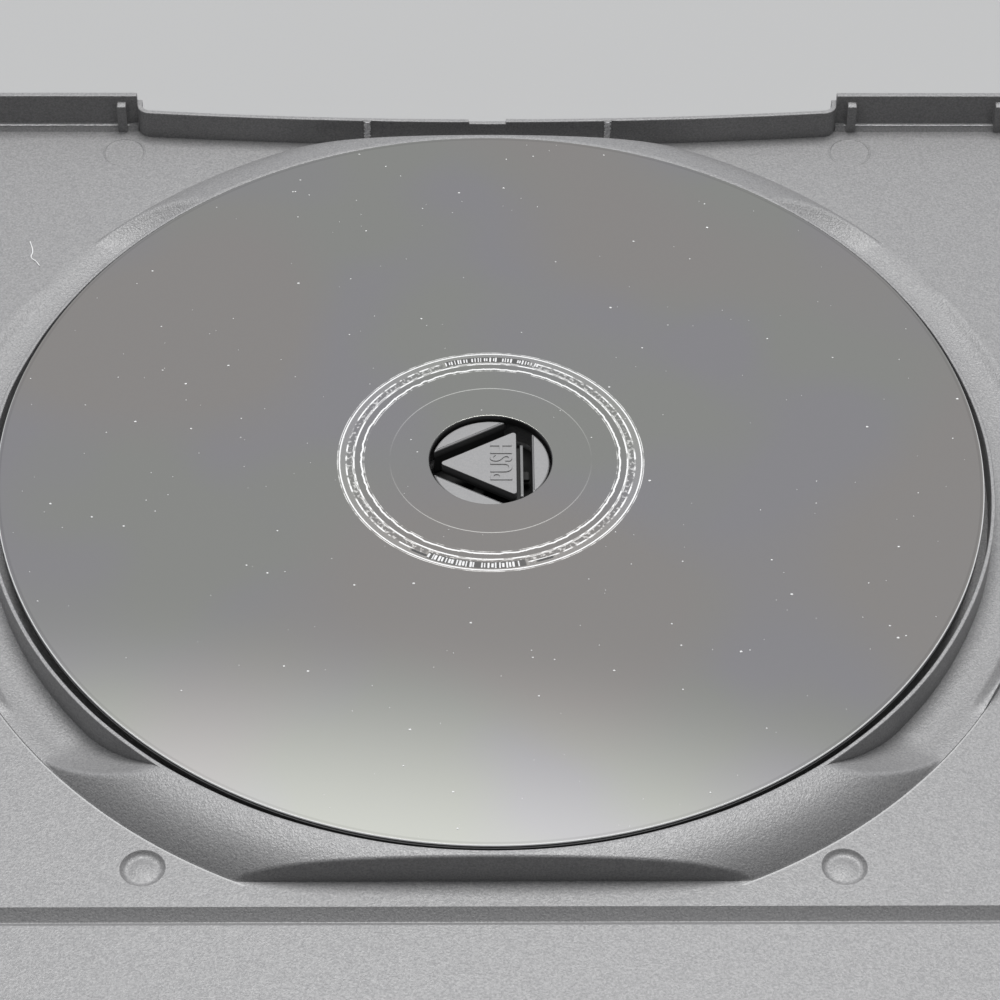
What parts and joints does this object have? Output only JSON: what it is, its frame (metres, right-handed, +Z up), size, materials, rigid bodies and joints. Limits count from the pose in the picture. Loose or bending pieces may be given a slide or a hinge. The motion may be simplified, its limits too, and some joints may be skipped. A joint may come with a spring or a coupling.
{
  "type": "game disc case",
  "caption": "Open keep case for a game disc: tray with a domed ring, push hub and scoops, folding spine, front cover with booklet clips, clear sleeve.",
  "frame": {"origin": "middle of the spine's outside, on the surface that the open case lies on", "axes": "+X along the spine to the picture's right, +Y from the spine towards the tray's opening edge, +Z up out of the open case"},
  "size_m": [0.19, 0.2822, 0.0084],
  "materials": {
    "tray_plastic": "fine texture",
    "disc_mirror": "mirror",
    "clear_film": "clear",
    "inlay_paper": "plain"
  },
  "bodies": {
    "tray": {"back_tray": "tray_plastic", "disc": "disc_mirror", "film_back": "clear_film", "paper_back": "inlay_paper"},
    "spine": {"spine": "tray_plastic", "film_spine": "clear_film", "paper_spine": "inlay_paper"},
    "cover": {"front_cover": "tray_plastic", "film_front": "clear_film", "paper_front": "inlay_paper"},
    "push_plate": {"hub_push_plate": "tray_plastic"},
    "finger_right": {"hub_finger_right": "tray_plastic"},
    "finger_far": {"hub_finger_far": "tray_plastic"},
    "finger_near": {"hub_finger_near": "tray_plastic"}
  },
  "joints": [
    {"name": "spine_hinge", "type": "hinge", "parent": "tray", "child": "spine", "pos_m": [0, 0.00665, 0.00055], "axis": [-1, 0, 0], "range_deg": [0, 90]},
    {"name": "cover_hinge", "type": "hinge", "parent": "spine", "child": "cover", "pos_m": [0, -0.00665, 0.00055], "axis": [-1, 0, 0], "range_deg": [0, 90]},
    {"name": "hub_push", "type": "slide", "parent": "tray", "child": "push_plate", "axis": [0, 0, -1], "range_m": [0, 0.001], "stiffness_N_per_m": 3000},
    {"name": "finger_right_bend", "type": "hinge", "parent": "tray", "child": "finger_right", "pos_m": [0.00614, 0.0728, 0.00185], "axis": [0, -1, 0], "range_deg": [0, 4]},
    {"name": "finger_far_bend", "type": "hinge", "parent": "tray", "child": "finger_far", "pos_m": [-0.00307, 0.07812, 0.00185], "axis": [0.866, 0.5, 0], "range_deg": [0, 4]},
    {"name": "finger_near_bend", "type": "hinge", "parent": "tray", "child": "finger_near", "pos_m": [-0.00307, 0.06748, 0.00185], "axis": [-0.866, 0.5, 0], "range_deg": [0, 4]}
  ],
  "couplings": [
    {"joint": "finger_right_bend", "follows": "hub_push", "rad_per_m": 69.8},
    {"joint": "finger_far_bend", "follows": "hub_push", "rad_per_m": 69.8},
    {"joint": "finger_near_bend", "follows": "hub_push", "rad_per_m": 69.8}
  ]
}
